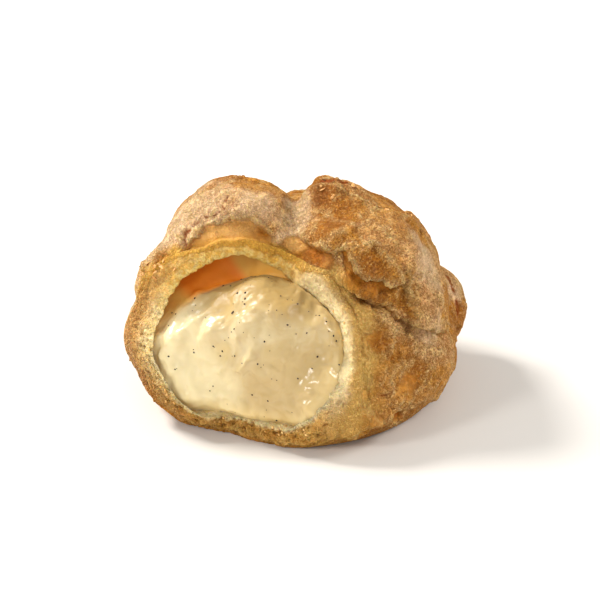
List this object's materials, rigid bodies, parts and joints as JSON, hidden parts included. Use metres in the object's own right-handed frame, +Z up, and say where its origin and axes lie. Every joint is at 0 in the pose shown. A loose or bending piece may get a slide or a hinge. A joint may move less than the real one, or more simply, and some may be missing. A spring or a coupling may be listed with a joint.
{
  "type": "cream puff",
  "caption": "Choux pastry cream puff, uneven and lobed, broken open at the front so that the custard filling shows. It rests on its flat base.",
  "frame": {"origin": "on the surface it rests on, below the middle of its outline seen from above", "axes": "+Z up, -Y towards the broken side where the custard shows, +X to the right as seen from there"},
  "size_m": [0.0914, 0.0772, 0.0589],
  "materials": {
    "baked_crust": "dry, crackled baked choux, golden brown outside and pale yellow where it is torn",
    "custard": "soft, wet, pale yellow pastry cream with dark vanilla seeds"
  },
  "bodies": {
    "root": {"choux_shell": "baked_crust", "custard_filling": "custard"}
  },
  "joints": []
}
